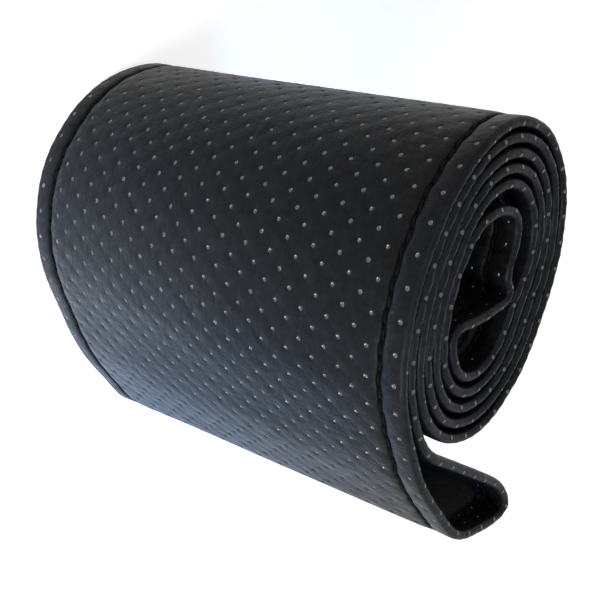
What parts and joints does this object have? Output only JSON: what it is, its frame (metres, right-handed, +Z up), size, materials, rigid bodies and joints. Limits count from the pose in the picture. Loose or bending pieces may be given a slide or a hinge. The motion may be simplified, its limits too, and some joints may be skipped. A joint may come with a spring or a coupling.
{
  "type": "steering wheel cover",
  "caption": "Perforated leather steering wheel cover with stitched hems, a ring pressed flat, rolled up and stood on one end.",
  "frame": {"origin": "under the middle of the roll's bounding box, on the surface that its lower end stands on", "axes": "+Z up along the roll, from one hemmed edge of the band to the other; +X and +Y across the roll, with the tail loop towards -Y"},
  "size_m": [0.0618, 0.0944, 0.105],
  "materials": {
    "leather": "matt black, fine pebble grain, dimpled in a diamond lattice",
    "thread": "black polyester sewing thread"
  },
  "bodies": {
    "root": {"leather_band": "leather", "lower_hem_thread": "thread", "upper_hem_thread": "thread", "seam_thread": "thread"}
  },
  "joints": []
}
